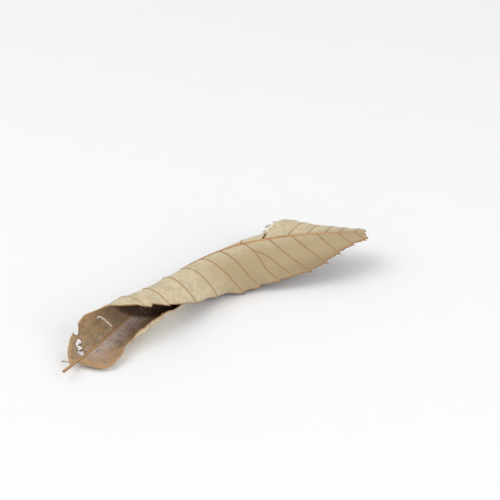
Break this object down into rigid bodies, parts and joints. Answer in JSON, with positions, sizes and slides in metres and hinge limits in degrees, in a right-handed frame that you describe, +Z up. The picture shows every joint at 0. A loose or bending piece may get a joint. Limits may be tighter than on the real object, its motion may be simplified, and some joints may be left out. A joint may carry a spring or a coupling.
{
  "type": "dried oak leaf",
  "caption": "Dried oak leaf curled lengthwise into a loose roll, pale underside out, with a short stalk end, toothed edges, a side torn in to the midrib and a torn tip.",
  "frame": {"origin": "centre of the bounding box on the surface that the leaf lies on", "axes": "+X runs along the leaf from its stalk to its torn tip, +Z is up"},
  "size_m": [0.142, 0.0331, 0.0177],
  "materials": {
    "leaf": "matte"
  },
  "bodies": {
    "root": {"leaf": "leaf"}
  },
  "joints": []
}
